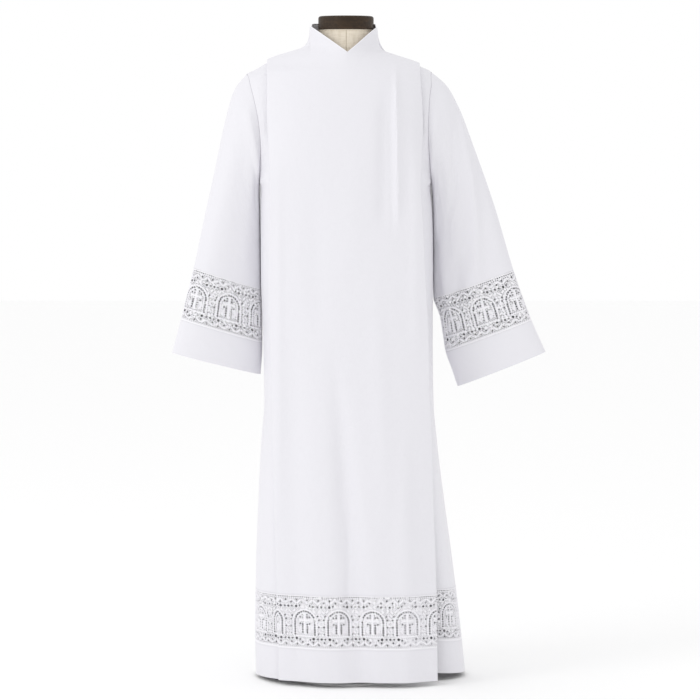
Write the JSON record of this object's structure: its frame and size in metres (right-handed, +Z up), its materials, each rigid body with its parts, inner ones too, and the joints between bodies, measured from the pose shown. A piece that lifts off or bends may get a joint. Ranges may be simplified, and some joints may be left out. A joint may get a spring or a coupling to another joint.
{
  "type": "alb robe on a dress form",
  "caption": "White V-neck alb robe with wide lace bands above plain hem and cuff bands, worn by a limbless linen dress form on a pole and round base.",
  "frame": {"origin": "centre of the base plate's underside, on the floor, below the middle of the dress form's neck", "axes": "+Z up along the pole, -Y towards the front of the robe, +X to the right in a front view (the wearer's left)"},
  "size_m": [0.8417, 0.3178, 1.492],
  "materials": {
    "polyester_cloth": "smooth matte white polyester plain weave",
    "polyester_lace": "white machine lace",
    "linen": "natural linen cover",
    "dark_wood": "dark stained satin",
    "pale_painted_steel": "pale satin paint"
  },
  "bodies": {
    "root": {"front_panel": "polyester_cloth", "side_front_left": "polyester_cloth", "side_front_right": "polyester_cloth", "back_panel": "polyester_cloth", "sleeve_left": "polyester_cloth", "sleeve_right": "polyester_cloth", "cuff_left": "polyester_cloth", "cuff_right": "polyester_cloth", "hem_band_front": "polyester_cloth", "hem_band_left": "polyester_cloth", "hem_band_right": "polyester_cloth", "hem_band_back": "polyester_cloth", "sleeve_lace_left_front": "polyester_lace", "sleeve_lace_left_back": "polyester_lace", "sleeve_lace_right_front": "polyester_lace", "sleeve_lace_right_back": "polyester_lace", "hem_lace_front": "polyester_lace", "hem_lace_left": "polyester_lace", "hem_lace_right": "polyester_lace", "hem_lace_back": "polyester_lace", "form_torso": "linen", "form_neck_cap": "dark_wood", "stand_pole": "pale_painted_steel", "stand_base": "pale_painted_steel"}
  },
  "joints": []
}
